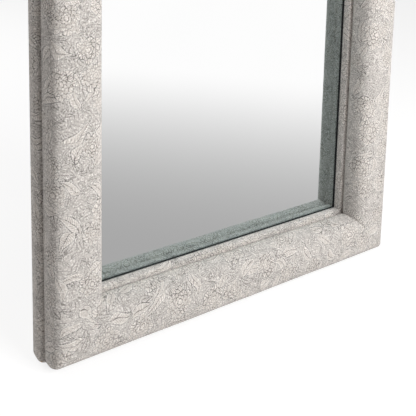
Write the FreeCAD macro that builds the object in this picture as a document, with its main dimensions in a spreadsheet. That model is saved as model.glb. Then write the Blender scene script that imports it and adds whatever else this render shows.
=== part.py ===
import FreeCAD, Part
import os
import Sketcher

os.makedirs("parts", exist_ok=True)
doc = FreeCAD.newDocument("floor_mirror")

# Sizes in millimetres
NUMBERS = [
    ("overall_width", 914.0),
    ("overall_height", 1829.0),
    ("roll_width", 107.0),
    ("roll_depth", 60.0),
    ("roll_edge_radius", 38.0),
    ("roll_corner_radius", 10.0),
    ("cover_thickness", 1.5),
    ("core_margin", 8.0),
    ("core_thickness", 18.0),
    ("base_overhang", 11.0),
    ("lip_overhang", 5.0),
    ("lip_depth", 22.0),
    ("base_front_radius", 9.0),
    ("lip_front_radius", 4.0),
    ("base_back_radius", 8.0),
    ("base_corner_radius", 20.0),
    ("rebate_width", 14.0),
    ("glass_clearance", 2.0),
    ("board_clearance", 1.0),
    ("glass_thickness", 5.0),
    ("board_thickness", 6.0),
    ("block_length", 60.0),
    ("block_inset", 150.0),
    ("dowel_radius", 4.0),
    ("dowel_length", 40.0),
    ("dowel_near", 42.0),
    ("dowel_far", 84.0),
    ("spline_length", 44.0),
    ("spline_width", 40.0),
    ("spline_thickness", 3.0),
    ("plate_inset", 26.0),
    ("plate_leg", 112.0),
    ("plate_width", 26.0),
    ("plate_thickness", 2.0),
    ("plate_hole_near", 46.0),
    ("plate_hole_far", 98.0),
    ("clip_length", 36.0),
    ("clip_width", 14.0),
    ("clip_thickness", 1.2),
    ("clip_overlap", 20.0),
    ("clip_hole_inset", 8.0),
    ("clip_end", 260.0),
    ("hole_radius", 2.0),
    ("small_head_radius", 3.6),
    ("small_head_height", 2.2),
    ("small_shank_radius", 1.75),
    ("small_shank_length", 16.0),
    ("small_recess_length", 4.2),
    ("small_recess_width", 0.9),
    ("small_recess_depth", 1.2),
    ("long_head_radius", 5.2),
    ("long_head_height", 3.0),
    ("long_shank_radius", 2.5),
    ("long_shank_length", 46.0),
    ("long_recess_length", 6.0),
    ("long_recess_width", 1.2),
    ("long_recess_depth", 1.7),
    ("long_end", 250.0),
    ("strap_width", 16.0),
    ("strap_length", 52.0),
    ("strap_thickness", 1.2),
    ("strap_hole_upper", 29.0),
    ("strap_hole_lower", 44.0),
    ("strap_height", 1440.0),
    ("ring_radius", 16.0),
    ("ring_wire_radius", 1.5),
    ("ring_clearance", 0.06),
    ("ring_axis_height", 3.2),
    ("barrel_wall", 1.2),
    ("barrel_length", 14.0),
    ("bumper_radius", 11.0),
    ("bumper_tip_radius", 8.0),
    ("bumper_height", 8.0),
    ("bumper_end", 178.0),
    ("pad_length", 60.0),
    ("pad_thickness", 4.0),
    ("pad_setback", 2.0),
    ("pad_inset", 70.0),
    ("staple_length", 10.0),
    ("staple_width", 1.2),
    ("staple_height", 0.6),
    ("staple_line", 84.0),
    ("staple_end", 160.0),
    ("cut_overrun", 5.0),
]

# How many of each repeated piece there are
STILE_CLIP_COUNT = 4
RAIL_CLIP_COUNT = 2
STILE_ROLL_SCREW_COUNT = 6
RAIL_ROLL_SCREW_COUNT = 3
STILE_STAPLE_COUNT = 22
RAIL_STAPLE_COUNT = 9
FLOOR_PAD_COUNT = 4
NEAR_SHARE = 1e-6
HALF_SHARE = 0.5
STRAP_ROW_SHARE = 0.5

sheet = doc.addObject("Spreadsheet::Sheet", "sizes")
for row, (alias, number) in enumerate(NUMBERS, start=1):
    sheet.set("A%d" % row, alias)
    sheet.set("B%d" % row, repr(number))
    sheet.setAlias("B%d" % row, alias)
doc.recompute()


class Size:
    """A length with the sheet expression that keeps it bound."""

    def __init__(self, value, text):
        self.value = value
        self.text = text

    def __add__(self, other):
        return Size(self.value + other.value, "(%s + %s)" % (self.text, other.text))

    def __sub__(self, other):
        return Size(self.value - other.value, "(%s - %s)" % (self.text, other.text))

    def __mul__(self, share):
        return Size(self.value * share, "(%s * %r)" % (self.text, share))

    def __neg__(self):
        return Size(-self.value, "(0 - %s)" % self.text)


ZERO = Size(0.0, "0")
S = {alias: Size(number, "sizes." + alias) for alias, number in NUMBERS}

# Lengths that follow from the sheet
roll_start = S["base_overhang"]
base_width = S["base_overhang"] + S["roll_width"] + S["lip_overhang"]
base_depth = S["lip_depth"] + S["glass_thickness"] + S["board_thickness"]
pocket_start = base_width - S["rebate_width"]
total_depth = S["roll_depth"] + base_depth + S["bumper_height"]
joint_level = S["roll_depth"] - total_depth * HALF_SHARE
back_level = joint_level + base_depth
half_width = S["overall_width"] * HALF_SHARE
floor_gap = S["pad_thickness"]
top_level = floor_gap + S["overall_height"]

# Each side of the frame: its length, its turn about the depth axis
SIDES = {
    "bottom": (S["overall_width"], 0.0),
    "right": (S["overall_height"], -90.0),
    "top": (S["overall_width"], 180.0),
    "left": (S["overall_height"], 90.0),
}


def on_side(side, along, across):
    """Global X and Z of a point given along a side and across it from its outer edge."""
    if side == "bottom":
        return (along - half_width, floor_gap + across)
    if side == "right":
        return (half_width - across, floor_gap + along)
    if side == "top":
        return (half_width - along, top_level - across)
    return (across - half_width, top_level - along)


def turn_about_depth(angle):
    return FreeCAD.Rotation(FreeCAD.Vector(0, 1, 0), angle)


def place(item, sideways, level, upward, rotation=None):
    """Put an object at bound coordinates."""
    spot = FreeCAD.Vector(sideways.value, level.value, upward.value)
    item.Placement = FreeCAD.Placement(spot, rotation or FreeCAD.Rotation())
    item.setExpression("Placement.Base.x", sideways.text)
    item.setExpression("Placement.Base.y", level.text)
    item.setExpression("Placement.Base.z", upward.text)


def place_on_side(item, side, along, across, level, extra_turn=0.0):
    sideways, upward = on_side(side, along, across)
    turn = SIDES[side][1] + extra_turn
    place(item, sideways, level, upward, turn_about_depth(turn))


def bind(item, name, size):
    item.setExpression(name, size.text)


def new_body(name):
    return doc.addObject("PartDesign::Body", name)


def new_sketch(body, name, role, offset=ZERO):
    """Empty sketch on one of the body's own planes, shifted along the plane's normal."""
    sketch = body.newObject("Sketcher::SketchObject", name)
    plane = [item for item in body.Origin.OriginFeatures if item.Role == role][0]
    sketch.AttachmentSupport = [(plane, "")]
    sketch.MapMode = "FlatFace"
    if offset is not ZERO:
        sketch.setExpression("AttachmentOffset.Base.z", offset.text)
    return sketch


def hold_point(sketch, item, end, first, second):
    """Fix one sketch point by its two bound distances from the origin."""
    if first is ZERO:
        sketch.addConstraint(Sketcher.Constraint("PointOnObject", item, end, -2))
    else:
        number = sketch.addConstraint(Sketcher.Constraint("DistanceX", -1, 1, item, end, first.value))
        sketch.setExpression("Constraints[%d]" % number, first.text)
    if second is ZERO:
        sketch.addConstraint(Sketcher.Constraint("PointOnObject", item, end, -1))
    else:
        number = sketch.addConstraint(Sketcher.Constraint("DistanceY", -1, 1, item, end, second.value))
        sketch.setExpression("Constraints[%d]" % number, second.text)


def polygon(body, name, role, corners, offset=ZERO):
    sketch = new_sketch(body, name, role, offset)
    points = [FreeCAD.Vector(first.value, second.value, 0) for first, second in corners]
    count = len(points)
    for index in range(count):
        sketch.addGeometry(Part.LineSegment(points[index], points[(index + 1) % count]))
    for index in range(count):
        sketch.addConstraint(Sketcher.Constraint("Coincident", index, 2, (index + 1) % count, 1))
    for index, (first, second) in enumerate(corners):
        hold_point(sketch, index, 1, first, second)
    return sketch


def circles(body, name, role, centres, radius, offset=ZERO):
    sketch = new_sketch(body, name, role, offset)
    for first, second in centres:
        middle = FreeCAD.Vector(first.value, second.value, 0)
        item = sketch.addGeometry(Part.Circle(middle, FreeCAD.Vector(0, 0, 1), radius.value))
        number = sketch.addConstraint(Sketcher.Constraint("Radius", item, radius.value))
        sketch.setExpression("Constraints[%d]" % number, radius.text)
        hold_point(sketch, item, 3, first, second)
    return sketch


def pad(body, sketch, length, outward=False):
    """Pad towards the front, or outward towards the back."""
    feature = body.newObject("PartDesign::Pad", sketch.Name + "_pad")
    feature.Profile = sketch
    feature.Length = length.value
    feature.Reversed = outward
    bind(feature, "Length", length)
    sketch.Visibility = False
    return feature


def through_holes(body, sketch):
    feature = body.newObject("PartDesign::Pocket", sketch.Name + "_holes")
    feature.Profile = sketch
    feature.Type = "ThroughAll"
    return feature


def long_edge(shape, level, across):
    """Names of the edges that run the length of a member at one level and one distance across."""
    names = []
    for number, edge in enumerate(shape.Edges, start=1):
        ends = [vertex.Point for vertex in edge.Vertexes]
        gaps = [max(abs(point.y - level.value), abs(point.z - across.value)) for point in ends]
        if max(gaps) < NEAR_SHARE:
            names.append("Edge%d" % number)
    return names


def round_edge(body, feature, level, across, radius):
    doc.recompute()
    rounded = body.newObject("PartDesign::Fillet", body.Name + "_round")
    rounded.Base = (feature, long_edge(feature.Shape, level, across))
    rounded.Radius = radius.value
    bind(rounded, "Radius", radius)
    return rounded


def member(name, side, start, width, back, depth, roundings):
    """Mitred length of one side, standing in front of its back level."""
    length = SIDES[side][0]
    body = new_body(name + "_" + side)
    end = start + width
    corners = [
        (start, start),
        (length - start, start),
        (length - end, end),
        (end, end),
    ]
    if start is ZERO:
        corners[0] = (ZERO, ZERO)
        corners[1] = (length, ZERO)
    plan = polygon(body, body.Name + "_plan", "XZ_Plane", corners, ZERO if back is ZERO else -back)
    feature = pad(body, plan, depth)
    for level, across, radius in roundings:
        feature = round_edge(body, feature, level, across, radius)
    place_on_side(body, side, ZERO, ZERO, joint_level)
    return body


def plan_block(name, inset, radius):
    """Rounded plan of one layer, deep enough to take in every layer."""
    body = new_body(name)
    left = inset - half_width
    right = half_width - inset
    low = floor_gap + inset
    high = top_level - inset
    reach = total_depth
    corners = [(left, low), (right, low), (right, high), (left, high)]
    plan = polygon(body, name + "_plan", "XZ_Plane", corners, -reach)
    feature = pad(body, plan, reach + reach)
    doc.recompute()
    upright_edges = []
    for number, edge in enumerate(feature.Shape.Edges, start=1):
        ends = [vertex.Point for vertex in edge.Vertexes]
        if abs(ends[0].y - ends[1].y) > reach.value:
            upright_edges.append("Edge%d" % number)
    rounded = body.newObject("PartDesign::Fillet", name + "_round")
    rounded.Base = (feature, upright_edges)
    rounded.Radius = radius.value
    bind(rounded, "Radius", radius)
    return body


def joined(kind, name, first, second):
    item = doc.addObject(kind, name)
    item.Base = first
    item.Tool = second
    return item


def within(name, body, block):
    return joined("Part::Common", name, body, block)


def less(name, body, tool):
    return joined("Part::Cut", name, body, tool)


def brick(name, wide, deep, high, sideways, level, upward):
    item = doc.addObject("Part::Box", name)
    bind(item, "Length", wide)
    bind(item, "Width", deep)
    bind(item, "Height", high)
    place(item, sideways, level, upward)
    return item


NODES = []


def node(item, name):
    item.Label = name
    NODES.append(item)
    return item


def group(name, items):
    item = doc.addObject("Part::Compound", name)
    item.Links = items
    return node(item, name)


def copy_of(pattern, name):
    link = doc.addObject("App::Link", name)
    link.setLink(pattern)
    return link


def spread(first, last, count):
    """Evenly spaced lengths from the first to the last."""
    if count == 1:
        return [(first + last) * HALF_SHARE]
    return [first + (last - first) * (index / (count - 1)) for index in range(count)]


# Rounded plans of the layers
cover = S["cover_thickness"]
roll_block = plan_block("roll_block", roll_start, S["roll_corner_radius"])
roll_void_block = plan_block("roll_void_block", roll_start + cover, S["roll_corner_radius"] - cover)
foam_block = plan_block("foam_block", roll_start + cover, S["roll_corner_radius"])
base_block = plan_block("base_block", ZERO + ZERO, S["base_corner_radius"])
base_void_block = plan_block("base_void_block", cover, S["base_corner_radius"] - cover)
rail_block = plan_block("rail_block", cover, S["base_corner_radius"])

# Room for the glass and the backing board behind the lip
glass_pocket = brick(
    "glass_pocket",
    S["overall_width"] - pocket_start * 2.0,
    base_depth - S["lip_depth"] + S["cut_overrun"],
    S["overall_height"] - pocket_start * 2.0,
    pocket_start - half_width,
    joint_level + S["lip_depth"],
    floor_gap + pocket_start,
)

# Padded front roll and the base frame behind it, one mitred length on each side
roll_end = roll_start + S["roll_width"]
void_start = roll_start + cover
void_end = roll_end - cover
void_width = S["roll_width"] - cover * 2.0
void_depth = S["roll_depth"] - cover
core_start = roll_start + S["core_margin"]
core_width = S["roll_width"] - S["core_margin"] * 2.0
edge_radius = S["roll_edge_radius"]
rail_width = base_width - cover * 2.0
rail_depth = base_depth - cover * 2.0

for side in SIDES:
    roll = member("roll", side, roll_start, S["roll_width"], ZERO, S["roll_depth"], [
        (-S["roll_depth"], roll_start, edge_radius),
        (-S["roll_depth"], roll_end, edge_radius),
    ])
    roll_void = member("roll_void", side, void_start, void_width, ZERO, void_depth, [
        (-void_depth, void_start, edge_radius - cover),
        (-void_depth, void_end, edge_radius - cover),
    ])
    foam = member("foam", side, void_start, void_width, ZERO, void_depth, [
        (-void_depth, void_start, edge_radius),
        (-void_depth, void_end, edge_radius),
    ])
    core = member("core", side, core_start, core_width, ZERO, S["core_thickness"], [])
    roll_skin = within("roll_shape_" + side, roll, roll_block)
    roll_room = within("roll_room_" + side, roll_void, roll_void_block)
    foam_shape = within("foam_shape_" + side, foam, foam_block)
    node(core, "roll_core_" + side)
    node(less("foam_cut_" + side, foam_shape, core), "roll_foam_" + side)
    node(less("roll_cover_cut_" + side, roll_skin, roll_room), "roll_cover_" + side)

    base = member("base", side, ZERO, base_width, base_depth, base_depth, [
        (ZERO, ZERO, S["base_front_radius"]),
        (ZERO, base_width, S["lip_front_radius"]),
        (base_depth, ZERO, S["base_back_radius"]),
    ])
    rail_back = base_depth - cover
    rail_end = base_width - cover
    base_void = member("base_void", side, cover, rail_width, rail_back, rail_depth, [
        (cover, cover, S["base_front_radius"] - cover),
        (cover, rail_end, S["lip_front_radius"] - cover),
        (rail_back, cover, S["base_back_radius"] - cover),
    ])
    rail = member("rail", side, cover, rail_width, rail_back, rail_depth, [
        (cover, cover, S["base_front_radius"]),
        (cover, rail_end, S["lip_front_radius"]),
        (rail_back, cover, S["base_back_radius"]),
    ])
    base_skin = within("base_shape_" + side, base, base_block)
    base_room = within("base_room_" + side, base_void, base_void_block)
    rail_shape = within("rail_shape_" + side, rail, rail_block)
    node(less("rail_cut_" + side, rail_shape, glass_pocket), "base_rail_" + side)
    wrap = less("base_wrap_" + side, base_skin, base_room)
    node(less("base_cover_cut_" + side, wrap, glass_pocket), "base_cover_" + side)

# Glass, its setting blocks and the board behind it
glass_start = pocket_start + S["glass_clearance"]
glass = brick(
    "glass",
    S["overall_width"] - glass_start * 2.0,
    S["glass_thickness"],
    S["overall_height"] - glass_start * 2.0,
    glass_start - half_width,
    joint_level + S["lip_depth"],
    floor_gap + glass_start,
)
node(glass, "mirror_glass")

board_start = pocket_start + S["board_clearance"]
board = brick(
    "board",
    S["overall_width"] - board_start * 2.0,
    S["board_thickness"],
    S["overall_height"] - board_start * 2.0,
    board_start - half_width,
    joint_level + S["lip_depth"] + S["glass_thickness"],
    floor_gap + board_start,
)
node(board, "backing_board")

blocks = []
block_row = [pocket_start + S["block_inset"], S["overall_width"] - pocket_start - S["block_inset"]]
for index, middle in enumerate(block_row):
    block = brick(
        "block_%d" % index,
        S["block_length"],
        S["glass_thickness"],
        S["glass_clearance"],
        middle - S["block_length"] * HALF_SHARE - half_width,
        joint_level + S["lip_depth"],
        floor_gap + pocket_start,
    )
    blocks.append(block)
group("setting_blocks", blocks)

# Dowels across the mitres of the base, splines across the mitres of the roll cores
dowel = doc.addObject("Part::Cylinder", "dowel")
bind(dowel, "Radius", S["dowel_radius"])
bind(dowel, "Height", S["dowel_length"])
dowel_level = joint_level + S["lip_depth"] * HALF_SHARE
half_dowel = S["dowel_length"] * (0.5 ** 0.5 * HALF_SHARE)
dowels = []
for side in SIDES:
    for index, reach in enumerate([S["dowel_near"], S["dowel_far"]]):
        peg = copy_of(dowel, "dowel_%s_%d" % (side, index))
        place_on_side(peg, side, reach + half_dowel, reach - half_dowel, dowel_level, -45.0)
        dowels.append(peg)
group("corner_dowels", dowels)

spline = doc.addObject("Part::Box", "spline")
bind(spline, "Length", S["spline_width"])
bind(spline, "Width", S["spline_thickness"])
bind(spline, "Height", S["spline_length"])
spline_level = joint_level - (S["core_thickness"] + S["spline_thickness"]) * HALF_SHARE
spline_middle = core_start + core_width * HALF_SHARE
half_spline = S["spline_length"] * (0.5 ** 0.5 * HALF_SHARE)
half_spline_width = S["spline_width"] * (0.5 ** 0.5 * HALF_SHARE)
splines = []
for side in SIDES:
    slip = copy_of(spline, "spline_" + side)
    along = spline_middle + half_spline - half_spline_width
    across = spline_middle - half_spline - half_spline_width
    place_on_side(slip, side, along, across, spline_level, -45.0)
    splines.append(slip)
group("core_splines", splines)


def screw(name, kind):
    """Pan head screw along the depth axis, head outward, with a cross recess."""
    body = new_body(name)
    radius = S[kind + "_head_radius"]
    height = S[kind + "_head_height"]
    shank = S[kind + "_shank_radius"]
    length = S[kind + "_shank_length"]
    tip = length - shank * 2.0
    profile = polygon(body, name + "_profile", "XY_Plane", [
        (ZERO, -length),
        (shank, -tip),
        (shank, ZERO),
        (radius, ZERO),
        (radius, height * HALF_SHARE),
        (shank, height),
        (ZERO, height),
    ])
    turned = body.newObject("PartDesign::Revolution", name + "_turned")
    turned.Profile = profile
    turned.ReferenceAxis = (profile, ["V_Axis"])
    turned.Angle = 360
    arm = S[kind + "_recess_length"] * HALF_SHARE
    half = S[kind + "_recess_width"] * HALF_SHARE
    cross = polygon(body, name + "_cross", "XZ_Plane", [
        (arm, -half), (arm, half), (half, half), (half, arm), (-half, arm), (-half, half),
        (-arm, half), (-arm, -half), (-half, -half), (-half, -arm), (half, -arm), (half, -half),
    ], -height)
    recess = body.newObject("PartDesign::Pocket", name + "_recess")
    recess.Profile = cross
    recess.Length = S[kind + "_recess_depth"].value
    recess.Reversed = True
    bind(recess, "Length", S[kind + "_recess_depth"])
    return body


small_screw = screw("small_screw", "small")
long_screw = screw("long_screw", "long")

# Flat angle plates over the mitres at the back
plate = new_body("plate")
inset = S["plate_inset"]
leg = S["plate_leg"]
inner = inset + S["plate_width"]
plate_plan = polygon(plate, "plate_plan", "XZ_Plane", [
    (inset, inset), (inset + leg, inset), (inset + leg, inner),
    (inner, inner), (inner, inset + leg), (inset, inset + leg),
])
pad(plate, plate_plan, S["plate_thickness"], True)
middle = inset + S["plate_width"] * HALF_SHARE
plate_holes = [
    (inset + S["plate_hole_near"], middle), (inset + S["plate_hole_far"], middle),
    (middle, inset + S["plate_hole_near"]), (middle, inset + S["plate_hole_far"]),
]
through_holes(plate, circles(plate, "plate_bores", "XZ_Plane", plate_holes, S["hole_radius"]))
plates = []
plate_screws = []
for side in SIDES:
    item = copy_of(plate, "plate_" + side)
    place_on_side(item, side, ZERO, ZERO, back_level)
    plates.append(item)
    for index, (along, across) in enumerate(plate_holes):
        fixing = copy_of(small_screw, "plate_screw_%s_%d" % (side, index))
        place_on_side(fixing, side, along, across, back_level + S["plate_thickness"])
        plate_screws.append(fixing)
group("corner_plates", plates)
group("corner_plate_screws", plate_screws)

# Clips that hold the board and the glass into the base
clip = new_body("clip")
half_clip = S["clip_width"] * HALF_SHARE
clip_plan = polygon(clip, "clip_plan", "XZ_Plane", [
    (-half_clip, ZERO), (half_clip, ZERO), (half_clip, S["clip_length"]), (-half_clip, S["clip_length"]),
])
pad(clip, clip_plan, S["clip_thickness"], True)
clip_hole = (ZERO, S["clip_hole_inset"])
through_holes(clip, circles(clip, "clip_bore", "XZ_Plane", [clip_hole], S["hole_radius"]))
clip_start = board_start + S["clip_overlap"] - S["clip_length"]
clips = []
clip_screws = []
for side, (length, angle) in SIDES.items():
    count = STILE_CLIP_COUNT if side in ("left", "right") else RAIL_CLIP_COUNT
    for index, along in enumerate(spread(S["clip_end"], length - S["clip_end"], count)):
        item = copy_of(clip, "clip_%s_%d" % (side, index))
        place_on_side(item, side, along, clip_start, back_level)
        clips.append(item)
        fixing = copy_of(small_screw, "clip_screw_%s_%d" % (side, index))
        hole = clip_start + S["clip_hole_inset"]
        place_on_side(fixing, side, along, hole, back_level + S["clip_thickness"])
        clip_screws.append(fixing)
group("retainer_clips", clips)
group("retainer_screws", clip_screws)

# Long screws that draw the roll onto the base
roll_screws = []
screw_line = roll_start + S["roll_width"] * HALF_SHARE
for side, (length, angle) in SIDES.items():
    count = STILE_ROLL_SCREW_COUNT if side in ("left", "right") else RAIL_ROLL_SCREW_COUNT
    for index, along in enumerate(spread(S["long_end"], length - S["long_end"], count)):
        fixing = copy_of(long_screw, "roll_screw_%s_%d" % (side, index))
        place_on_side(fixing, side, along, screw_line, back_level)
        roll_screws.append(fixing)
group("roll_fixing_screws", roll_screws)

# Staples that hold the cover's edge at the back
staple = doc.addObject("Part::Box", "staple")
bind(staple, "Length", S["staple_length"])
bind(staple, "Width", S["staple_height"])
bind(staple, "Height", S["staple_width"])
staples = []
for side, (length, angle) in SIDES.items():
    count = STILE_STAPLE_COUNT if side in ("left", "right") else RAIL_STAPLE_COUNT
    for index, along in enumerate(spread(S["staple_end"], length - S["staple_end"], count)):
        item = copy_of(staple, "staple_%s_%d" % (side, index))
        start = along - S["staple_length"] * HALF_SHARE
        place_on_side(item, side, start, S["staple_line"], back_level)
        staples.append(item)
group("cover_staples", staples)

# Hanger straps with a swinging ring each, on the backs of the two stiles
wire = S["ring_wire_radius"]
bore = wire + S["ring_clearance"]
barrel_radius = bore + S["barrel_wall"]
hanger_screws = []
hanger_level = floor_gap + S["strap_height"]
axis_level = back_level + S["ring_axis_height"]
for side, sense in (("left", -1.0), ("right", 1.0)):
    centre = (half_width - base_width * STRAP_ROW_SHARE) * sense
    body = new_body("strap_plate_" + side)
    half = S["strap_width"] * HALF_SHARE
    outline = polygon(body, "strap_plan_" + side, "XZ_Plane", [
        (-half, -S["strap_length"]), (half, -S["strap_length"]), (half, ZERO), (-half, ZERO),
    ])
    pad(body, outline, S["strap_thickness"], True)
    rows = [(ZERO, -S["strap_hole_upper"]), (ZERO, -S["strap_hole_lower"])]
    through_holes(body, circles(body, "strap_bores_" + side, "XZ_Plane", rows, S["hole_radius"]))
    place(body, centre, back_level, hanger_level)
    along_axis = FreeCAD.Rotation(FreeCAD.Vector(0, 1, 0), 90.0)
    barrel = doc.addObject("Part::Cylinder", "barrel_" + side)
    bind(barrel, "Radius", barrel_radius)
    bind(barrel, "Height", S["barrel_length"])
    place(barrel, centre - S["barrel_length"] * HALF_SHARE, axis_level, hanger_level, along_axis)
    passage = doc.addObject("Part::Cylinder", "passage_" + side)
    bind(passage, "Radius", bore)
    bind(passage, "Height", S["strap_width"] + S["cut_overrun"] * 2.0)
    start = centre - S["strap_width"] * HALF_SHARE - S["cut_overrun"]
    place(passage, start, axis_level, hanger_level, along_axis)
    strap = joined("Part::Fuse", "strap_" + side, body, barrel)
    node(less("hanger_" + side, strap, passage), "hanger_strap_" + side)

    bar = doc.addObject("Part::Cylinder", "ring_bar_" + side)
    bind(bar, "Radius", wire)
    bind(bar, "Height", S["ring_radius"] * 2.0)
    place(bar, centre - S["ring_radius"], axis_level, hanger_level, along_axis)
    bow = doc.addObject("Part::Torus", "ring_bow_" + side)
    bind(bow, "Radius1", S["ring_radius"])
    bind(bow, "Radius2", wire)
    bow.Angle3 = 180
    place(bow, centre, axis_level, hanger_level, FreeCAD.Rotation(FreeCAD.Vector(1, 0, 0), -90.0))
    pieces = [bar, bow]
    for end, step in (("outer", -S["ring_radius"]), ("inner", S["ring_radius"])):
        knuckle = doc.addObject("Part::Sphere", "ring_%s_%s" % (end, side))
        bind(knuckle, "Radius", wire)
        place(knuckle, centre + step, axis_level, hanger_level)
        pieces.append(knuckle)
    ring = doc.addObject("Part::MultiFuse", "ring_" + side)
    ring.Shapes = pieces
    node(ring, "hanger_ring_" + side)
    for index, (first, second) in enumerate(rows):
        fixing = copy_of(small_screw, "hanger_screw_%s_%d" % (side, index))
        place(fixing, centre, back_level + S["strap_thickness"], hanger_level + second)
        hanger_screws.append(fixing)
group("hanger_screws", hanger_screws)

# Rubber buffers towards the wall
bumper = doc.addObject("Part::Cone", "bumper")
bind(bumper, "Radius1", S["bumper_radius"])
bind(bumper, "Radius2", S["bumper_tip_radius"])
bind(bumper, "Height", S["bumper_height"])
bumpers = []
for side in ("left", "right"):
    for index, along in enumerate([S["bumper_end"], S["overall_height"] - S["bumper_end"]]):
        item = copy_of(bumper, "bumper_%s_%d" % (side, index))
        sideways, upward = on_side(side, along, base_width * HALF_SHARE)
        place(item, sideways, back_level, upward, FreeCAD.Rotation(FreeCAD.Vector(1, 0, 0), -90.0))
        bumpers.append(item)
group("wall_bumpers", bumpers)

# Pads under the base for the floor
pads = []
pad_depth = base_depth - S["pad_setback"] * 2.0
last_pad = S["overall_width"] - S["pad_inset"]
for index, along in enumerate(spread(S["pad_inset"], last_pad, FLOOR_PAD_COUNT)):
    item = brick(
        "pad_%d" % index,
        S["pad_length"],
        pad_depth,
        S["pad_thickness"],
        along - S["pad_length"] * HALF_SHARE - half_width,
        joint_level + S["pad_setback"],
        ZERO,
    )
    pads.append(item)
group("floor_pads", pads)

doc.recompute()

# Nothing is written unless every object and every shape is sound
for item in doc.Objects:
    if "Invalid" in item.State or "Error" in item.State:
        raise RuntimeError("object not sound: " + item.Name)
for item in NODES:
    if item.Shape.isNull() or not item.Shape.isValid():
        raise RuntimeError("shape not sound: " + item.Label)
for item in NODES:
    item.Shape.exportStep("parts/%s.step" % item.Label)
    box = item.Shape.BoundBox
    print("%-22s solids %3d volume %12.1f  y %7.2f %7.2f  z %8.2f %8.2f" % (
        item.Label, len(item.Shape.Solids), item.Shape.Volume, box.YMin, box.YMax, box.ZMin, box.ZMax))
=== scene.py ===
import math
from collections import namedtuple
import bpy
from mathutils import Euler, Matrix, Vector, noise


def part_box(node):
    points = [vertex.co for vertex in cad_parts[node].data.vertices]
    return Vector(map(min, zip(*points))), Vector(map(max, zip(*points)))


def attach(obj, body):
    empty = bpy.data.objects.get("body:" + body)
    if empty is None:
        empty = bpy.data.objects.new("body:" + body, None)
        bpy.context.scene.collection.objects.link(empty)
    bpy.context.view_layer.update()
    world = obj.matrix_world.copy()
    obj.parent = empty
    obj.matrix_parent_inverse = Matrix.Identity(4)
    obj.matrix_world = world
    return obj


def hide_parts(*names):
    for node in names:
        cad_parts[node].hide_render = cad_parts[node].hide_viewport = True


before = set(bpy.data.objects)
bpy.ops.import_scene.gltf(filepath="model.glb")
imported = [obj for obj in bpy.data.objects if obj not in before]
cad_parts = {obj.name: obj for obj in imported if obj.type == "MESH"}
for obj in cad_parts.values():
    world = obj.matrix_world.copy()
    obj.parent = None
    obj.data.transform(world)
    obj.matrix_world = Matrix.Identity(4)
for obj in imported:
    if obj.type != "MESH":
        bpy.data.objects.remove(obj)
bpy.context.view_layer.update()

# Places taken from the CAD boxes, in metres
roll_low, roll_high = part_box("roll_cover_left")
base_low, base_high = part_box("base_cover_left")
LEFT = base_low.x
RIGHT = -base_low.x
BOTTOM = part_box("base_cover_bottom")[0].z
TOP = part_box("base_cover_top")[1].z
SEAM = roll_high.y
ROLL_INSET = roll_low.x - base_low.x
ROLL_WIDTH = roll_high.x - roll_low.x
ROLL_DEPTH = roll_high.y - roll_low.y
BASE_WIDTH = base_high.x - base_low.x
BASE_DEPTH = base_high.y - base_low.y
GLASS_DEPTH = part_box("mirror_glass")[0].y - SEAM
SIDES = ("bottom", "right", "top", "left")
LENGTH = {"bottom": RIGHT - LEFT, "right": TOP - BOTTOM, "top": RIGHT - LEFT, "left": TOP - BOTTOM}

# Section of the roll: powers of its curve outside and inside, then the tuck of its feet, in metres
OUTER_FULLNESS = 4.0
INNER_FULLNESS = 3.7
OUTER_TUCK = 0.004
OUTER_TUCK_HEIGHT = 0.010
INNER_TUCK = 0.0065
INNER_TUCK_HEIGHT = 0.018
LEAST_HEIGHT = 0.0001

# Plan radii at the mitres, and the dip of the roll along its sewn mitre, in metres
ROLL_CORNER = 0.006
BASE_CORNER = 0.020
INNER_CORNER = 0.002
SEAM_DIP = 0.0008
SEAM_SPREAD = 0.0018

# Unevenness of the padding in metres, its rate round and along the roll, and its change by side and half
UNEVEN = 0.0007
UNEVEN_ROUND = 9
UNEVEN_ALONG = 7
UNEVEN_SIDE = 5.0
UNEVEN_HALF = 3.0

# Section of the wrapped base, in metres
CLOTH = 0.0012
REVEAL = 0.0040
LIP_ROUND = 0.004
BASE_FRONT_ROUND = 0.009
BASE_BACK_ROUND = 0.008
REBATE = 0.014

# Near-black strip in metres, painted shade in the gap at the glass: set back from the lip, other side,
# lap behind the lip, gap to the glass, edge
STRIP_INNER = 0.0008
STRIP_OUTER = 0.0040
STRIP_LAP = 0.0010
STRIP_GAP = 0.0002
STRIP_EDGE = 0.0004

# Fineness of the meshes
CURVE_STEPS = 400
LIP_STEPS = 8
ROUND_STEPS = 10
ROLL_ROWS = 54
ROLL_SPACING = 0.02
BASE_ROWS = 64
BASE_SPACING = 0.04
NEAR_SEAM = (0.0, 0.0012, 0.0024, 0.004, 0.006, 0.009, 0.013, 0.018, 0.025, 0.034)
LEAST_SHARES = 4
MERGE_DISTANCE = 0.00005
SMOOTH_ANGLE = math.radians(50)

# Where the cloth of the right, top and left side is cut from the print, in metres
RIGHT_CUT = 1.7
TOP_CUT = 2.3
LEFT_CUT = 0.9

Station = namedtuple("Station", "kind value mirrored")


def start_clean():
    """Leave edit mode and deselect every object."""
    if bpy.context.object and bpy.context.object.mode != "OBJECT":
        bpy.ops.object.mode_set(mode="OBJECT")
    bpy.ops.object.select_all(action="DESELECT")


def frame_point(side, along, across, depth):
    """Place of a point given along one side of the frame, across it from outside, and behind the seam."""
    level = SEAM + depth
    if side == "bottom":
        return Vector((LEFT + along, level, BOTTOM + across))
    if side == "right":
        return Vector((RIGHT - across, level, BOTTOM + along))
    if side == "top":
        return Vector((RIGHT - along, level, TOP - across))
    return Vector((LEFT + across, level, TOP - along))


def cloth_place(side, along, girth):
    """Place on the cloth, in metres, with the print upright on every side."""
    if side == "bottom":
        return (along, girth)
    if side == "right":
        return (RIGHT_CUT - girth, along)
    if side == "top":
        return (-along, TOP_CUT - girth)
    return (girth - LEFT_CUT, -along)


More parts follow.
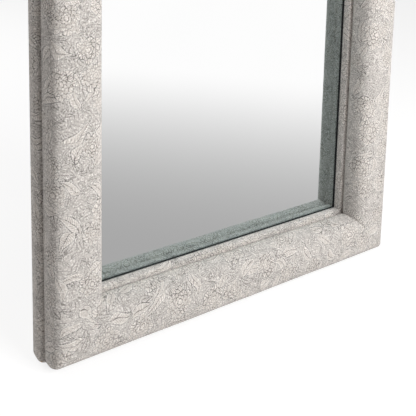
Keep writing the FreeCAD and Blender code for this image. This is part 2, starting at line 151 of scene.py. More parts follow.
def even_steps(points, count):
    """Points at even distances along a line, with the distance of each."""
    lengths = [0.0]
    for first, second in zip(points, points[1:]):
        lengths.append(lengths[-1] + math.dist(first, second))
    found = []
    index = 0
    for step in range(count + 1):
        target = lengths[-1] * step / count
        while index < len(points) - 2 and lengths[index + 1] < target:
            index += 1
        span = lengths[index + 1] - lengths[index]
        share = 0.0 if span == 0 else (target - lengths[index]) / span
        first, second = points[index], points[index + 1]
        found.append((
            first[0] + (second[0] - first[0]) * share,
            first[1] + (second[1] - first[1]) * share,
            target,
        ))
    return found


def roll_section():
    """Padded roll from its outer foot over the front to its inner foot: across, height, girth."""
    points = []
    for step in range(CURVE_STEPS + 1):
        angle = math.pi * step / CURVE_STEPS
        outer = angle < math.pi / 2
        power = 2 / (OUTER_FULLNESS if outer else INNER_FULLNESS)
        side = math.copysign(abs(math.cos(angle)) ** power, math.cos(angle))
        across = ROLL_WIDTH / 2 * (1 - side)
        height = ROLL_DEPTH * max(0.0, math.sin(angle)) ** power
        tuck_height = OUTER_TUCK_HEIGHT if outer else INNER_TUCK_HEIGHT
        if height < tuck_height:
            tuck = OUTER_TUCK if outer else -INNER_TUCK
            across += tuck * (1 - height / tuck_height) ** 2
        points.append((across, height))
    return even_steps(points, ROLL_ROWS)


def arc(middle, radius, first, last, count):
    """Points round an arc, from the first angle to the last in degrees."""
    points = []
    for step in range(count + 1):
        angle = math.radians(first + (last - first) * step / count)
        points.append((middle[0] + radius * math.cos(angle), middle[1] + radius * math.sin(angle)))
    return points


def base_section():
    """Wrapped base from the lip over the front and the outside to the back: across, depth, girth."""
    lip = (BASE_WIDTH - LIP_ROUND, LIP_ROUND)
    front = (BASE_FRONT_ROUND, BASE_FRONT_ROUND)
    back = (BASE_BACK_ROUND, BASE_DEPTH - BASE_BACK_ROUND)
    points = [(BASE_WIDTH, GLASS_DEPTH - REVEAL)]
    points += arc(lip, LIP_ROUND, 0, -90, LIP_STEPS)
    points += arc(front, BASE_FRONT_ROUND, -90, -180, ROUND_STEPS)
    points += arc(back, BASE_BACK_ROUND, 180, 90, ROUND_STEPS)
    points.append((BASE_WIDTH - REBATE, BASE_DEPTH))
    return even_steps(points, BASE_ROWS)


def roll_corner(across):
    """Plan radius at the mitre of the roll's line that runs this far across the frame."""
    share = max(0.0, 1 - (across - ROLL_INSET) / ROLL_WIDTH)
    return INNER_CORNER + (ROLL_CORNER - INNER_CORNER) * share


def base_corner(across):
    """Plan radius at the mitre of the base's line that runs this far across the frame."""
    return max(INNER_CORNER, BASE_CORNER - across)


def walk(across, radius, distance):
    """Along and across of a point on the rounded line, this far from the mitre."""
    bend = radius * math.pi / 4
    if distance < bend:
        angle = math.radians(225) + distance / radius
        middle = across + radius
        return (middle + radius * math.cos(angle), middle + radius * math.sin(angle))
    return (across + radius + distance - bend, across)


def half_run(across, radius, length):
    """Length of the rounded line from the mitre to the middle of the side."""
    return length / 2 - across - radius + radius * math.pi / 4


def stations(length, spacing):
    """Places from one mitre to the other: near ones as distances, the rest as shares of what is left."""
    count = max(LEAST_SHARES, round((length / 2 - NEAR_SEAM[-1]) / spacing))
    first_half = [("near", distance) for distance in NEAR_SEAM]
    first_half += [("share", step / count) for step in range(1, count + 1)]
    places = [Station(kind, value, False) for kind, value in first_half]
    return places + [Station(kind, value, True) for kind, value in reversed(first_half[:-1])]


def mitre_distance(station, across, radius, length):
    """Distance of a station from the nearer mitre."""
    if station.kind == "near":
        return station.value
    start = NEAR_SEAM[-1]
    return start + (half_run(across, radius, length) - start) * station.value


def along_frame(station, across, radius, length):
    """Along and across of the point at one station."""
    along, moved = walk(across, radius, mitre_distance(station, across, radius, length))
    if station.mirrored:
        along = length - along
    return along, moved


def cloth_grid(name, columns, rows):
    """Flat grid of cloth that is then wrapped, with its column and row for each vertex."""
    start_clean()
    bpy.ops.mesh.primitive_grid_add(x_subdivisions=columns, y_subdivisions=rows, size=2, calc_uvs=True)
    piece = bpy.context.object
    piece.name = name
    piece.data.name = name
    places = []
    for vertex in piece.data.vertices:
        column = round((vertex.co.x + 1) / 2 * columns)
        row = round((vertex.co.y + 1) / 2 * rows)
        places.append((column, row))
    return piece, places


def wrap_grid(piece, places, spots, cloth):
    """Move the flat grid to its wrapped place and write the map of the cloth."""
    for vertex, place in zip(piece.data.vertices, places):
        vertex.co = spots[place]
    layer = piece.data.uv_layers.active
    layer.name = "Cloth"
    for loop in piece.data.loops:
        layer.data[loop.index].uv = cloth[places[loop.vertex_index]]


def finish_mesh(closed):
    """Turn the faces outward, after merging the closing seam and filling the ends of a closed piece."""
    bpy.ops.object.mode_set(mode="EDIT")
    bpy.ops.mesh.select_all(action="SELECT")
    if closed:
        bpy.ops.mesh.remove_doubles(threshold=MERGE_DISTANCE)
        bpy.ops.mesh.select_all(action="SELECT")
        bpy.ops.mesh.fill_holes(sides=0)
        bpy.ops.mesh.select_all(action="SELECT")
    bpy.ops.mesh.normals_make_consistent(inside=False)
    bpy.ops.object.mode_set(mode="OBJECT")
    bpy.ops.object.shade_smooth_by_angle(angle=SMOOTH_ANGLE)


def padded_roll(side):
    """One padded length of the front roll, covered in cloth and sewn at the mitres."""
    length = LENGTH[side]
    section = roll_section()
    around = len(section)
    row_of_stations = stations(length, ROLL_SPACING)
    piece, places = cloth_grid("padded_roll_" + side, len(row_of_stations) - 1, around)
    spots = {}
    cloth = {}
    for row in range(around + 1):
        across, height, girth = section[row % around]
        before = section[max(0, row - 1) % around]
        after = section[min(around - 1, row + 1) % around]
        tangent = Vector((after[0] - before[0], after[1] - before[1]))
        tangent = tangent.normalized() if tangent.length > 0 else Vector((1, 0))
        inward = Vector((tangent.y, -tangent.x))
        radius = roll_corner(ROLL_INSET + across)
        for column, station in enumerate(row_of_stations):
            run = mitre_distance(station, ROLL_INSET + across, radius, length)
            sunk = SEAM_DIP * math.exp(-((run / SEAM_SPREAD) ** 2))
            if 0 < row < around - 1:
                chance = SIDES.index(side) * UNEVEN_SIDE + station.mirrored * UNEVEN_HALF
                sunk += UNEVEN * noise.noise(Vector((girth * UNEVEN_ROUND, run * UNEVEN_ALONG, chance)))
            moved = ROLL_INSET + across + inward.x * sunk
            raised = max(LEAST_HEIGHT, height + inward.y * sunk)
            along, set_in = along_frame(station, moved, radius, length)
            spots[(column, row)] = frame_point(side, along, set_in, -raised)
            cloth[(column, row)] = cloth_place(side, along, girth)
    wrap_grid(piece, places, spots, cloth)
    finish_mesh(True)
    return piece


def base_wrap(side):
    """Cloth pulled over one length of the base, from the glass round to the back."""
    length = LENGTH[side]
    section = base_section()
    row_of_stations = stations(length, BASE_SPACING)
    piece, places = cloth_grid("base_wrap_" + side, len(row_of_stations) - 1, len(section) - 1)
    spots = {}
    cloth = {}
    for row, (across, depth, girth) in enumerate(section):
        radius = base_corner(across)
        for column, station in enumerate(row_of_stations):
            along, set_in = along_frame(station, across, radius, length)
            spots[(column, row)] = frame_point(side, along, set_in, depth)
            cloth[(column, row)] = cloth_place(side, along, -girth)
    wrap_grid(piece, places, spots, cloth)
    finish_mesh(False)
    thick = piece.modifiers.new("cloth", "SOLIDIFY")
    thick.thickness = CLOTH
    thick.offset = -1.0
    bpy.ops.object.modifier_apply(modifier=thick.name)
    girth = section[-1][2]
    return piece


def shade_gap_strip(side):
    """Near-black strip between the lip and the glass, set there as painted shade for the shadowed gap."""
    length = LENGTH[side]
    start_clean()
    bpy.ops.mesh.primitive_cube_add(size=2)
    piece = bpy.context.object
    piece.name = "shade_gap_strip_" + side
    piece.data.name = piece.name
    inner = BASE_WIDTH - STRIP_INNER
    outer = BASE_WIDTH - STRIP_OUTER
    near = GLASS_DEPTH - REVEAL - STRIP_LAP
    far = GLASS_DEPTH - STRIP_GAP
    for vertex in piece.data.vertices:
        across = inner if vertex.co.z > 0 else outer
        depth = far if vertex.co.y > 0 else near
        along = length - across if vertex.co.x > 0 else across
        vertex.co = frame_point(side, along, across, depth)
    bevel = piece.modifiers.new("soft_edges", "BEVEL")
    bevel.width = STRIP_EDGE
    bevel.segments = 2
    bpy.ops.object.modifier_apply(modifier=bevel.name)
    finish_mesh(False)
    return piece


# Material building blocks


def new_material(name):
    """Material with its node tree and shader."""
    material = bpy.data.materials.new(name)
    material.use_nodes = True
    tree = material.node_tree
    shader = tree.nodes["Principled BSDF"]
    return material, tree, shader


def feed(tree, socket, value):
    """Link another socket to this one, or set its value."""
    if isinstance(value, bpy.types.NodeSocket):
        tree.links.new(value, socket)
    else:
        socket.default_value = value


def calc(tree, operation, *values):
    """Result of one operation on numbers."""
    node = tree.nodes.new("ShaderNodeMath")
    node.operation = operation
    for socket, value in zip(node.inputs, values):
        feed(tree, socket, value)
    return node.outputs[0]


def vector_calc(tree, operation, *values):
    """Result of one operation on vectors."""
    node = tree.nodes.new("ShaderNodeVectorMath")
    node.operation = operation
    for socket, value in zip(node.inputs, values):
        feed(tree, socket, value)
    return node.outputs["Value"] if operation == "LENGTH" else node.outputs["Vector"]


def parted(tree, vector):
    """First two members of a vector."""
    node = tree.nodes.new("ShaderNodeSeparateXYZ")
    tree.links.new(vector, node.inputs[0])
    return node.outputs["X"], node.outputs["Y"]


def smooth_between(tree, value, low, high, first=0.0, last=1.0):
    """Smooth change from first to last while the value goes from low to high."""
    node = tree.nodes.new("ShaderNodeMapRange")
    node.interpolation_type = "SMOOTHSTEP"
    node.inputs["From Min"].default_value = low
    node.inputs["From Max"].default_value = high
    node.inputs["To Min"].default_value = first
    node.inputs["To Max"].default_value = last
    feed(tree, node.inputs["Value"], value)
    return node.outputs["Result"]


def cloudy(tree, place, scale, detail=2.0, flat=True, output="Fac"):
    """Cloudy noise, on the flat cloth or through a solid piece."""
    node = tree.nodes.new("ShaderNodeTexNoise")
    node.noise_dimensions = "2D" if flat else "3D"
    node.inputs["Scale"].default_value = scale
    node.inputs["Detail"].default_value = detail
    feed(tree, node.inputs["Vector"], place)
    return node.outputs[output]


def scattered(tree, place, scale, spread):
    """Motifs scattered over the cloth: place from the motif's middle, and three chance numbers of it."""
    node = tree.nodes.new("ShaderNodeTexVoronoi")
    node.voronoi_dimensions = "2D"
    node.inputs["Scale"].default_value = scale
    node.inputs["Randomness"].default_value = spread
    feed(tree, node.inputs["Vector"], place)
    away = vector_calc(tree, "SUBTRACT", place, node.outputs["Position"])
    chance = tree.nodes.new("ShaderNodeSeparateColor")
    tree.links.new(node.outputs["Color"], chance.inputs[0])
    return away, chance.outputs


def blended(tree, factor, first, second):
    """Blend of two colours."""
    node = tree.nodes.new("ShaderNodeMix")
    node.data_type = "RGBA"
    feed(tree, node.inputs["Factor"], factor)
    feed(tree, node.inputs["A"], first)
    feed(tree, node.inputs["B"], second)
    return node.outputs["Result"]


def bumped(tree, shader, height, strength, distance):
    """Relief on the shader's surface."""
    node = tree.nodes.new("ShaderNodeBump")
    node.inputs["Strength"].default_value = strength
    node.inputs["Distance"].default_value = distance
    feed(tree, node.inputs["Height"], height)
    tree.links.new(node.outputs["Normal"], shader.inputs["Normal"])


def largest(tree, *masks):
    """Largest of several masks."""
    result = masks[0]
    for mask in masks[1:]:
        result = calc(tree, "MAXIMUM", result, mask)
    return result


def product(tree, *masks):
    """Product of several masks."""
    result = masks[0]
    for mask in masks[1:]:
        result = calc(tree, "MULTIPLY", result, mask)
    return result


# Print on the cloth: half widths of lines, soft edges and pale halos in metres, and a halo's full share
LINE = 0.00084
SOFT = 0.00032
HALO = 0.0036
HALO_CORE = 0.4

# Blooms: number to a metre, looseness, radius and petals with their chance part, rows and rays
BLOOM_SCALE = 12.5
BLOOM_SPREAD = 0.75
BLOOM_RADIUS = 0.021
BLOOM_LARGER = 0.012
PETALS = 6.0
MORE_PETALS = 4.0
PETAL_ROWS = (0.20, 0.40, 0.62, 0.80, 1.0)
PETAL_FOOT = 0.78
PETAL_LOBE = 0.26
BLOOM_WEIGHT = 1.15
RAYS = 5
RAY_HALF = 0.13
RAY_SOFT = 0.09
RAYS_FROM = (0.28, 0.34)

# Leaves: looseness, bend and taper of all, their veins, then each kind
LEAF_SPREAD = 0.8
LEAF_BEND = 1.3
LEAF_TAPER = -0.4
LEAF_FOOT = 0.9
VEIN_SLANT = 0.9
VEIN_HALF = 0.11
VEIN_SOFT = 0.08
VEIN_FADES_OVER = (0.45, 1.00)
VEIN_INK = (0.95, 0.45)
LeafKind = namedtuple("LeafKind", "scale half_length half_width vein_spacing weight")
SMALL_LEAF = LeafKind(56.0, 0.0105, 0.0046, 0.0040, 0.85)
MIDDLE_LEAF = LeafKind(34.0, 0.0170, 0.0070, 0.0040, 0.90)
LARGE_LEAF = LeafKind(19.0, 0.0290, 0.0110, 0.0042, 1.20)

# Scales of the cloth's noises to a metre, the drift of the pattern and the pitch of the threads in metres
DRIFT_SCALE = 22.0
DRIFT = 0.024
PATCH_SCALE = 34.0
SLUB_SCALE = 160.0
STIPPLE_SCALE = 250.0
WORN_SCALE = 300.0
FLECK_SCALE = 320.0
WARP = 0.0011
WEFT = 0.0012

# Range of those noises over which each layer of the print sets in, and of the noise in every finish
STIPPLE_RANGE = (0.50, 0.60)
WORN_RANGE = (0.33, 0.58)
PATCH_RANGE = (0.30, 0.70)
FLECK_RANGE = (0.54, 0.66)
MOTTLE_RANGE = (0.3, 0.7)

# Strength of the layers of the print, and the colours of cloth and ink
STIPPLE = 0.6
GROUND_INK = 0.84
WORN_INK = 0.32
PATCH_INK = 0.60
ALL_INK = 0.94
BETWEEN = 0.62
HALO_LIGHT = 0.50
FLECK = 0.75
LINEN_DARK = (0.575, 0.530, 0.490, 1)
LINEN_LIGHT = (0.670, 0.628, 0.590, 1)
LINEN_BETWEEN = (0.500, 0.472, 0.450, 1)
LINEN_HALO = (0.790, 0.758, 0.722, 1)
LINEN_FLECK = (0.860, 0.835, 0.800, 1)
INK = (0.080, 0.072, 0.066, 1)

# Relief of the weave beside that of the slubs, its strength and its depth in metres
WEAVE_SHARE = 0.35
CLOTH_RELIEF = 0.35
CLOTH_DEPTH = 0.0006

# Change of roughness within a plain finish, and the depth of its relief in metres
ROUGHER_BY = 0.12
FINISH_DEPTH = 0.0004


def line_at_zero(tree, value, weight=1.0):
    """One on the line where the value is zero, fading out on both sides."""
    half = LINE * weight
    return smooth_between(tree, calc(tree, "ABSOLUTE", value), half - SOFT, half + SOFT, 1.0, 0.0)


def halo_at_zero(tree, value):
    """Broad soft band on both sides of the line where the value is zero."""
    return smooth_between(tree, calc(tree, "ABSOLUTE", value), HALO * HALO_CORE, HALO, 1.0, 0.0)


def below_zero(tree, value):
    """One where the value is below zero."""
    return smooth_between(tree, value, -SOFT, SOFT, 1.0, 0.0)


def repeated_lines(tree, phase, half_width, soft):
    """One where the phase is near a whole number, zero between."""
    part = calc(tree, "FRACT", phase)
    away = calc(tree, "ABSOLUTE", calc(tree, "SUBTRACT", part, 0.5))
    return smooth_between(tree, away, 0.5 - half_width - soft, 0.5 - half_width + soft)


def overlaid(tree, under, over, inside):
    """A layer over another that it hides inside its outline."""
    return largest(tree, over, product(tree, under, calc(tree, "SUBTRACT", 1.0, inside)))


def bloom(tree, place):
    """Lines, inside and rim of the round blooms, with rows of petals and fine rays."""
    away, chance = scattered(tree, place, BLOOM_SCALE, BLOOM_SPREAD)
    x, y = parted(tree, away)
    angle = calc(tree, "ADD", calc(tree, "ARCTAN2", y, x), math.pi)
    reach = vector_calc(tree, "LENGTH", away)
    radius = calc(tree, "MULTIPLY_ADD", chance[0], BLOOM_LARGER, BLOOM_RADIUS)
    petals = calc(tree, "FLOOR", calc(tree, "MULTIPLY_ADD", chance[1], MORE_PETALS, PETALS))
    swing = calc(tree, "MULTIPLY", petals, angle)
    lines = []
    for row, share in enumerate(PETAL_ROWS):
        wave = calc(tree, "MULTIPLY_ADD", swing, 0.5, row * math.pi / 2)
        lobe = calc(tree, "ABSOLUTE", calc(tree, "SINE", wave))
        out_to = calc(tree, "MULTIPLY_ADD", lobe, PETAL_LOBE * share, PETAL_FOOT * share)
        rim = calc(tree, "SUBTRACT", reach, product(tree, radius, out_to))
        lines.append(line_at_zero(tree, rim, BLOOM_WEIGHT))
    inside = below_zero(tree, rim)
    ray = repeated_lines(tree, calc(tree, "MULTIPLY", swing, RAYS / (2 * math.pi)), RAY_HALF, RAY_SOFT)
    outward = calc(tree, "DIVIDE", reach, radius)
    ray = product(tree, ray, inside, smooth_between(tree, outward, *RAYS_FROM))
    return largest(tree, ray, *lines), inside, rim


def leaf(tree, place, kind):
    """Lines, inside and rim of curved leaves, with a midrib and slanting veins."""
    away, chance = scattered(tree, place, kind.scale, LEAF_SPREAD)
    turned = tree.nodes.new("ShaderNodeVectorRotate")
    turned.rotation_type = "Z_AXIS"
    tree.links.new(away, turned.inputs["Vector"])
    tree.links.new(calc(tree, "MULTIPLY", chance[0], 2 * math.pi), turned.inputs["Angle"])
    x, y = parted(tree, turned.outputs[0])
    ahead = calc(tree, "DIVIDE", x, kind.half_length)
    square = calc(tree, "MULTIPLY", ahead, ahead)
    bend = calc(tree, "MULTIPLY", calc(tree, "SUBTRACT", chance[1], 0.5), kind.half_length * LEAF_BEND)
    beside = calc(tree, "ADD", y, calc(tree, "MULTIPLY", bend, square))
    side = calc(tree, "ABSOLUTE", beside)
    narrowing = calc(tree, "MULTIPLY_ADD", ahead, LEAF_TAPER, LEAF_FOOT)
    taper = product(tree, calc(tree, "SUBTRACT", 1.0, square), narrowing)
    edge = calc(tree, "MULTIPLY", taper, kind.half_width)
    rim = calc(tree, "SUBTRACT", side, edge)
    inside = below_zero(tree, rim)
    slant = calc(tree, "SUBTRACT", x, calc(tree, "MULTIPLY", side, VEIN_SLANT))
    veins = repeated_lines(tree, calc(tree, "DIVIDE", slant, kind.vein_spacing), VEIN_HALF, VEIN_SOFT)
    outward = calc(tree, "DIVIDE", side, kind.half_width)
    fading = smooth_between(tree, outward, *VEIN_FADES_OVER, *VEIN_INK)
    inner = product(tree, inside, largest(tree, line_at_zero(tree, beside), product(tree, veins, fading)))
    return largest(tree, line_at_zero(tree, rim, kind.weight), inner), inside, rim


def printed_cloth():
    """Natural linen with a fine grey line print of blooms and leaves on a stippled ground."""
    material, tree, shader = new_material("printed_linen")
    source = tree.nodes.new("ShaderNodeUVMap")
    source.uv_map = "Cloth"
    flat = source.outputs["UV"]
    cloud = cloudy(tree, flat, DRIFT_SCALE, 1.0, output="Color")
    drift = vector_calc(tree, "SUBTRACT", cloud, (0.5, 0.5, 0.5))
    place = vector_calc(tree, "ADD", flat, vector_calc(tree, "MULTIPLY", drift, (DRIFT, DRIFT, 0.0)))

    # Layers from the ground up, each hiding what it covers
    ink = smooth_between(tree, cloudy(tree, flat, STIPPLE_SCALE), *STIPPLE_RANGE, 0.0, STIPPLE)
    for kind in (SMALL_LEAF, MIDDLE_LEAF):
        lines, inside = leaf(tree, place, kind)[:2]
        ink = overlaid(tree, ink, lines, inside)
    ink = calc(tree, "MULTIPLY", ink, GROUND_INK)
    light = 0.0
    covered = 0.0
    for lines, inside, rim in (leaf(tree, place, LARGE_LEAF), bloom(tree, place)):
        ink = overlaid(tree, ink, lines, inside)
        light = overlaid(tree, light, halo_at_zero(tree, rim), inside)
        covered = largest(tree, inside, covered)
    worn = smooth_between(tree, cloudy(tree, flat, WORN_SCALE), *WORN_RANGE, WORN_INK, 1.0)
    patch = smooth_between(tree, cloudy(tree, flat, PATCH_SCALE), *PATCH_RANGE, PATCH_INK, 1.0)
    ink = product(tree, ink, worn, patch, ALL_INK)

    # Woven threads
    x, y = parted(tree, flat)
    warp = calc(tree, "SINE", calc(tree, "MULTIPLY", x, 2 * math.pi / WARP))
    weft = calc(tree, "SINE", calc(tree, "MULTIPLY", y, 2 * math.pi / WEFT))
    weave = calc(tree, "MULTIPLY", warp, weft)
    slub = cloudy(tree, flat, SLUB_SCALE, 3.0)

    # Linen, greyer between the large motifs, paler along their outlines, flecked, then inked
    ground = blended(tree, smooth_between(tree, slub, *MOTTLE_RANGE), LINEN_DARK, LINEN_LIGHT)
    between = smooth_between(tree, covered, 0.0, 1.0, BETWEEN, 0.0)
    ground = blended(tree, between, ground, LINEN_BETWEEN)
    ground = blended(tree, calc(tree, "MULTIPLY", light, HALO_LIGHT), ground, LINEN_HALO)
    fleck = smooth_between(tree, cloudy(tree, flat, FLECK_SCALE), *FLECK_RANGE, 0.0, FLECK)
    ground = blended(tree, fleck, ground, LINEN_FLECK)
    tree.links.new(blended(tree, ink, ground, INK), shader.inputs["Base Color"])
    shader.inputs["Roughness"].default_value = 0.9
    shader.inputs["Specular IOR Level"].default_value = 0.2
    shader.inputs["Sheen Weight"].default_value = 0.12
    shader.inputs["Sheen Roughness"].default_value = 0.5
    relief = calc(tree, "ADD", calc(tree, "MULTIPLY", weave, WEAVE_SHARE), slub)
    bumped(tree, shader, relief, CLOTH_RELIEF, CLOTH_DEPTH)
    return material


def plain_finish(name, colour, second, scale, roughness,
                 metal=0.0, relief=0.1, detail=3.0, stretch=(1, 1, 1)):
    """Mottled finish on the piece's own place, for the pieces that aren't cloth."""
    material, tree, shader = new_material(name)
    source = tree.nodes.new("ShaderNodeTexCoord")
    mapping = tree.nodes.new("ShaderNodeMapping")
    mapping.inputs["Scale"].default_value = stretch
    tree.links.new(source.outputs["Object"], mapping.inputs["Vector"])
    grain = cloudy(tree, mapping.outputs[0], scale, detail, flat=False)
    mottle = blended(tree, smooth_between(tree, grain, *MOTTLE_RANGE), colour, second)
    tree.links.new(mottle, shader.inputs["Base Color"])
    rougher = min(1.0, roughness + ROUGHER_BY)
    rough = smooth_between(tree, grain, *MOTTLE_RANGE, roughness, rougher)
    tree.links.new(rough, shader.inputs["Roughness"])
    shader.inputs["Metallic"].default_value = metal
    bumped(tree, shader, grain, relief, FINISH_DEPTH)
    return material


# Tint of the silvered glass, the share by which its faint haze changes it, and the scale of that haze
GLASS_TINT = (0.500, 0.577, 0.580)
GLASS_HAZE = 0.01
HAZE_SCALE = 6.0


def silvered_glass():
    """Mirror with the faint green of the glass in front of its silver."""
    material, tree, shader = new_material("silvered_glass")
    source = tree.nodes.new("ShaderNodeTexCoord")
    haze = cloudy(tree, source.outputs["Object"], HAZE_SCALE, flat=False)
    clear = (*[value * (1 + GLASS_HAZE) for value in GLASS_TINT], 1)
    dull = (*[value * (1 - GLASS_HAZE) for value in GLASS_TINT], 1)
    tree.links.new(blended(tree, haze, dull, clear), shader.inputs["Base Color"])
    shader.inputs["Metallic"].default_value = 1.0
    shader.inputs["Roughness"].default_value = 0.008
    return material


def dress(material, *nodes):
    """Give CAD nodes their finish."""
    for node in nodes:
        item = bpy.data.objects[node]
        item.data.materials.clear()
        item.data.materials.append(material)


# Upholstered pieces and the near-black strip, painted shade in the gap at the glass
linen = printed_cloth()
# Near-black finish of that strip, painted shade for the shadowed gap between lip and glass
shade_strip_rubber = plain_finish(
    "shade_strip_rubber", (0.008, 0.008, 0.008, 1), (0.014, 0.013, 0.013, 1), scale=300.0, roughness=0.75)
for side in SIDES:
    roll = padded_roll(side)
    roll.data.materials.append(linen)
    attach(roll, "mirror")
    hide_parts("roll_cover_" + side, "roll_foam_" + side)
    wrap = base_wrap(side)
    wrap.data.materials.append(linen)
    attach(wrap, "mirror")
    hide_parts("base_cover_" + side)
    strip = shade_gap_strip(side)
    strip.data.materials.append(shade_strip_rubber)
    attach(strip, "mirror")

# Finishes of the pieces that keep their CAD shape
softwood = plain_finish(
    "sawn_softwood", (0.50, 0.35, 0.20, 1), (0.60, 0.45, 0.28, 1),
    scale=14.0, roughness=0.7, stretch=(1, 6, 6))
hardboard = plain_finish(
    "brown_hardboard", (0.115, 0.070, 0.042, 1), (0.150, 0.095, 0.058, 1),
    scale=240.0, roughness=0.55, relief=0.25, detail=6.0)
zinc = plain_finish(
    "zinc_plate", (0.50, 0.50, 0.48, 1), (0.64, 0.64, 0.61, 1), scale=180.0, roughness=0.32, metal=1.0)
screw_zinc = plain_finish(
    "screw_zinc", (0.45, 0.45, 0.44, 1), (0.60, 0.60, 0.58, 1), scale=420.0, roughness=0.35, metal=1.0)
wire_zinc = plain_finish(
    "wire_zinc", (0.52, 0.52, 0.50, 1), (0.66, 0.66, 0.64, 1), scale=350.0, roughness=0.24, metal=1.0)
rubber = plain_finish(
    "buffer_rubber", (0.016, 0.016, 0.016, 1), (0.026, 0.025, 0.025, 1),
    scale=300.0, roughness=0.65, relief=0.2)
felt = plain_finish(
    "pressed_felt", (0.055, 0.048, 0.042, 1), (0.095, 0.085, 0.075, 1),
    scale=900.0, roughness=0.95, relief=0.6, detail=5.0)
for side in SIDES:
    dress(softwood, "roll_core_" + side, "base_rail_" + side)
dress(softwood, "corner_dowels", "core_splines")
dress(zinc, "corner_plates", "retainer_clips", "hanger_strap_left", "hanger_strap_right")
dress(screw_zinc, "corner_plate_screws", "retainer_screws", "roll_fixing_screws")
dress(screw_zinc, "cover_staples", "hanger_screws")
dress(wire_zinc, "hanger_ring_left", "hanger_ring_right")
dress(silvered_glass(), "mirror_glass")
dress(hardboard, "backing_board")
dress(rubber, "setting_blocks", "wall_bumpers")
dress(felt, "floor_pads")


# Floor, world and light

# What gloss shows of the studio: brighter away from the mirror, in front of it evened out for its tint
SHOWN_COLOUR = (1.0, GLASS_TINT[0] / GLASS_TINT[1], GLASS_TINT[0] / GLASS_TINT[2], 1)
SHOWN_NEAR = 0.39 / GLASS_TINT[0]
SHOWN_FAR = 0.98 / GLASS_TINT[0]
SHOWN_BEHIND = 0.9
BRIGHTER_TOWARD = (0.743, -0.706)
NEAR_END = 0.03
FAR_END = 2.00
TURN_OVER = 0.2

# What lights the mirror from the floor and the world, and how light the camera sees the floor
FLOOR_SIZE = 60
FLOOR_BOUNCE = (0.80, 0.79, 0.78, 1)
FLOOR_SEEN = (0.30, 0.30, 0.30, 1)
FLOOR_GLOW = 0.80
FILL_COLOUR = (1.0, 0.98, 0.96, 1)
FILL = 0.16
WHITE = (1, 1, 1, 1)


def by_ray(tree, plain, seen, shown):
    """Plain for lighting, seen by the camera, shown in gloss."""
    light_path = tree.nodes.new("ShaderNodeLightPath")
    first = tree.nodes.new("ShaderNodeMixShader")
    tree.links.new(light_path.outputs["Is Camera Ray"], first.inputs[0])
    tree.links.new(plain.outputs[0], first.inputs[1])
    tree.links.new(seen.outputs[0], first.inputs[2])
    second = tree.nodes.new("ShaderNodeMixShader")
    tree.links.new(light_path.outputs["Is Glossy Ray"], second.inputs[0])
    tree.links.new(first.outputs[0], second.inputs[1])
    tree.links.new(shown.outputs[0], second.inputs[2])
    return second.outputs[0]


def shown_colour(tree, y):
    """Evened out in front of the mirror, white behind it."""
    return blended(tree, smooth_between(tree, y, 0.0, TURN_OVER), SHOWN_COLOUR, WHITE)


def studio_floor():
    """Wide white floor that takes the soft shadow."""
    start_clean()
    bpy.ops.mesh.primitive_plane_add(size=FLOOR_SIZE)
    floor = bpy.context.object
    floor.name = "studio_floor"
    material = bpy.data.materials.new("studio_floor")
    material.use_nodes = True
    tree = material.node_tree
    tree.nodes.clear()
    out = tree.nodes.new("ShaderNodeOutputMaterial")
    plain = tree.nodes.new("ShaderNodeBsdfDiffuse")
    plain.inputs["Color"].default_value = FLOOR_BOUNCE
    seen_diffuse = tree.nodes.new("ShaderNodeBsdfDiffuse")
    seen_diffuse.inputs["Color"].default_value = FLOOR_SEEN
    seen_glow = tree.nodes.new("ShaderNodeEmission")
    seen_glow.inputs["Strength"].default_value = FLOOR_GLOW
    seen = tree.nodes.new("ShaderNodeAddShader")
    tree.links.new(seen_diffuse.outputs[0], seen.inputs[0])
    tree.links.new(seen_glow.outputs[0], seen.inputs[1])
    shown = tree.nodes.new("ShaderNodeEmission")
    source = tree.nodes.new("ShaderNodeTexCoord")
    x, y = parted(tree, source.outputs["Object"])
    tree.links.new(shown_colour(tree, y), shown.inputs["Color"])
    forward = calc(tree, "MULTIPLY", y, BRIGHTER_TOWARD[1])
    ahead = calc(tree, "MULTIPLY_ADD", x, BRIGHTER_TOWARD[0], forward)
    strength = smooth_between(tree, ahead, NEAR_END, FAR_END, SHOWN_NEAR, SHOWN_FAR)
    tree.links.new(strength, shown.inputs["Strength"])
    tree.links.new(by_ray(tree, plain, seen, shown), out.inputs["Surface"])
    floor.data.materials.append(material)


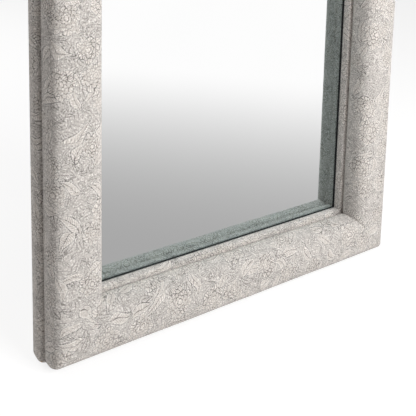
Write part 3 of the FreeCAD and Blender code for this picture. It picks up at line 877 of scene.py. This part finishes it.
def studio_world():
    """White studio with a weak fill light."""
    world = bpy.data.worlds.new("studio")
    bpy.context.scene.world = world
    world.use_nodes = True
    tree = world.node_tree
    tree.nodes.clear()
    out = tree.nodes.new("ShaderNodeOutputWorld")
    fill = tree.nodes.new("ShaderNodeBackground")
    fill.inputs["Color"].default_value = FILL_COLOUR
    fill.inputs["Strength"].default_value = FILL
    seen = tree.nodes.new("ShaderNodeBackground")
    seen.inputs["Color"].default_value = WHITE
    seen.inputs["Strength"].default_value = 1.0
    shown = tree.nodes.new("ShaderNodeBackground")
    source = tree.nodes.new("ShaderNodeTexCoord")
    y = parted(tree, source.outputs["Generated"])[1]
    tree.links.new(shown_colour(tree, y), shown.inputs["Color"])
    strength = smooth_between(tree, y, -TURN_OVER, TURN_OVER, SHOWN_FAR, SHOWN_BEHIND)
    tree.links.new(strength, shown.inputs["Strength"])
    tree.links.new(by_ray(tree, fill, seen, shown), out.inputs["Surface"])


def soft_lamp(name, place, target, size, power):
    """Round area lamp turned to its target, in metres and watts."""
    start_clean()
    bpy.ops.object.light_add(type="AREA", location=place)
    lamp = bpy.context.object
    lamp.name = name
    lamp.data.shape = "DISK"
    lamp.data.size = size
    lamp.data.energy = power
    lamp.rotation_euler = (Vector(target) - Vector(place)).to_track_quat("-Z", "Y").to_euler()


studio_floor()
studio_world()
soft_lamp("key_lamp", place=(1.0, -2.9, 2.0), target=(0.0, 0.0, 0.5), size=2.4, power=134.0)
soft_lamp("back_lamp", place=(-2.5, 3.5, 3.2), target=(0.0, 0.0, 0.8), size=2.5, power=110.0)

# Camera: pixels of the 416 by 416 frame, metres and radians
FRAME_PIXELS = 416
FOCAL_PIXELS = 676.4
SENSOR = 36.0
CAMERA_PLACE = (-0.8596, SEAM - 1.1604, 0.9112)
PITCH_DOWN = math.radians(8.0)
YAW = -0.5900
LEVEL_TILT = 0.0223
LENS_SHIFT = -0.522
start_clean()
bpy.ops.object.camera_add(location=CAMERA_PLACE)
camera = bpy.context.object
camera.name = "photo_camera"
turn = Euler((math.pi / 2 - PITCH_DOWN, 0.0, YAW)).to_matrix()
camera.rotation_euler = (turn @ Matrix.Rotation(LEVEL_TILT, 3, "Z")).to_euler()
camera.data.sensor_width = SENSOR
camera.data.lens = FOCAL_PIXELS / FRAME_PIXELS * SENSOR
camera.data.shift_y = LENS_SHIFT
camera.data.clip_start = 0.01
camera.data.clip_end = 200.0
bpy.context.scene.camera = camera
bpy.context.scene.view_settings.view_transform = "Standard"
